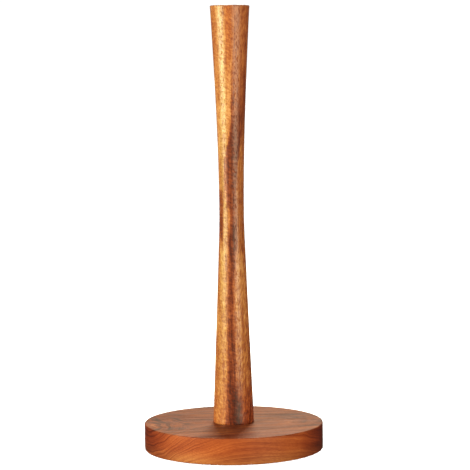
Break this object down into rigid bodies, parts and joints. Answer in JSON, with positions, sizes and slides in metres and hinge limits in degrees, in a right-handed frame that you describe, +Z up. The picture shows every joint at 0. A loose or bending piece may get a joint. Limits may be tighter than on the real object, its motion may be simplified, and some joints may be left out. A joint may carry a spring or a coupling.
{
  "type": "paper towel holder",
  "caption": "Free-standing upright holder for a roll of kitchen paper: a round flat wooden base and a turned hourglass post.",
  "frame": {"origin": "on the surface that the foot pads stand on, on the post's axis", "axes": "+Z up along the post; +X to the right and -Y towards the viewer in the picture; the base's grain runs along X"},
  "size_m": [0.15, 0.15, 0.3715],
  "materials": {
    "base_wood": "oiled and satin-lacquered solid hardwood, red-brown, grain across the disc",
    "post_wood": "oiled and satin-lacquered solid hardwood, golden sapwood beside red-brown heartwood, grain along the post",
    "insert_metal": "plain turned",
    "bolt_steel": "zinc-plated",
    "washer_steel": "zinc-plated",
    "pad_rubber": "matt"
  },
  "bodies": {
    "root": {"base": "base_wood", "post": "post_wood", "threaded_insert": "insert_metal", "bolt": "bolt_steel", "spring_washer": "washer_steel", "flat_washer": "washer_steel", "foot_pad_1": "pad_rubber", "foot_pad_2": "pad_rubber", "foot_pad_3": "pad_rubber", "foot_pad_4": "pad_rubber"}
  },
  "joints": []
}
